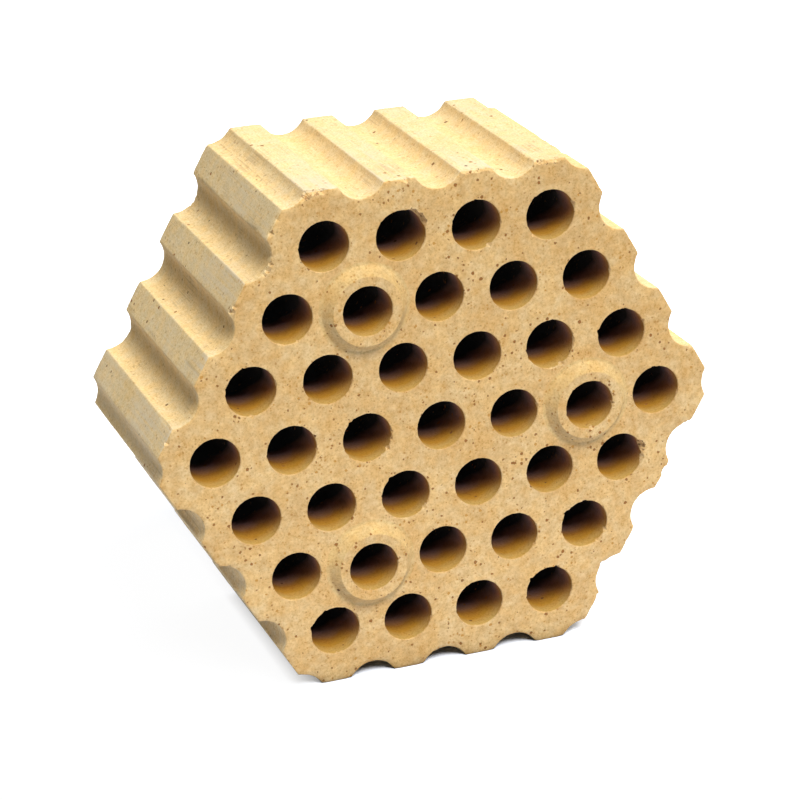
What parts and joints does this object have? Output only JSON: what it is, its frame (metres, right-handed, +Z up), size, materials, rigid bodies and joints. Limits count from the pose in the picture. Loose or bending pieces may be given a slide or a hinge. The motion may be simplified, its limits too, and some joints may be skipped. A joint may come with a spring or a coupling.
{
  "type": "refractory checker brick",
  "caption": "Hexagonal fired refractory brick pierced by round flues, with half-round grooves in its sides and corners, and tapered locating bosses and sockets on its faces.",
  "frame": {"origin": "centre of the box the brick fills, at floor level", "axes": "+X corner to corner, +Y along the flues from the boss face to the socket face, +Z up"},
  "size_m": [0.298, 0.1256, 0.2655],
  "materials": {
    "fireclay": "matte"
  },
  "bodies": {
    "root": {"checker_brick": "fireclay"}
  },
  "joints": []
}
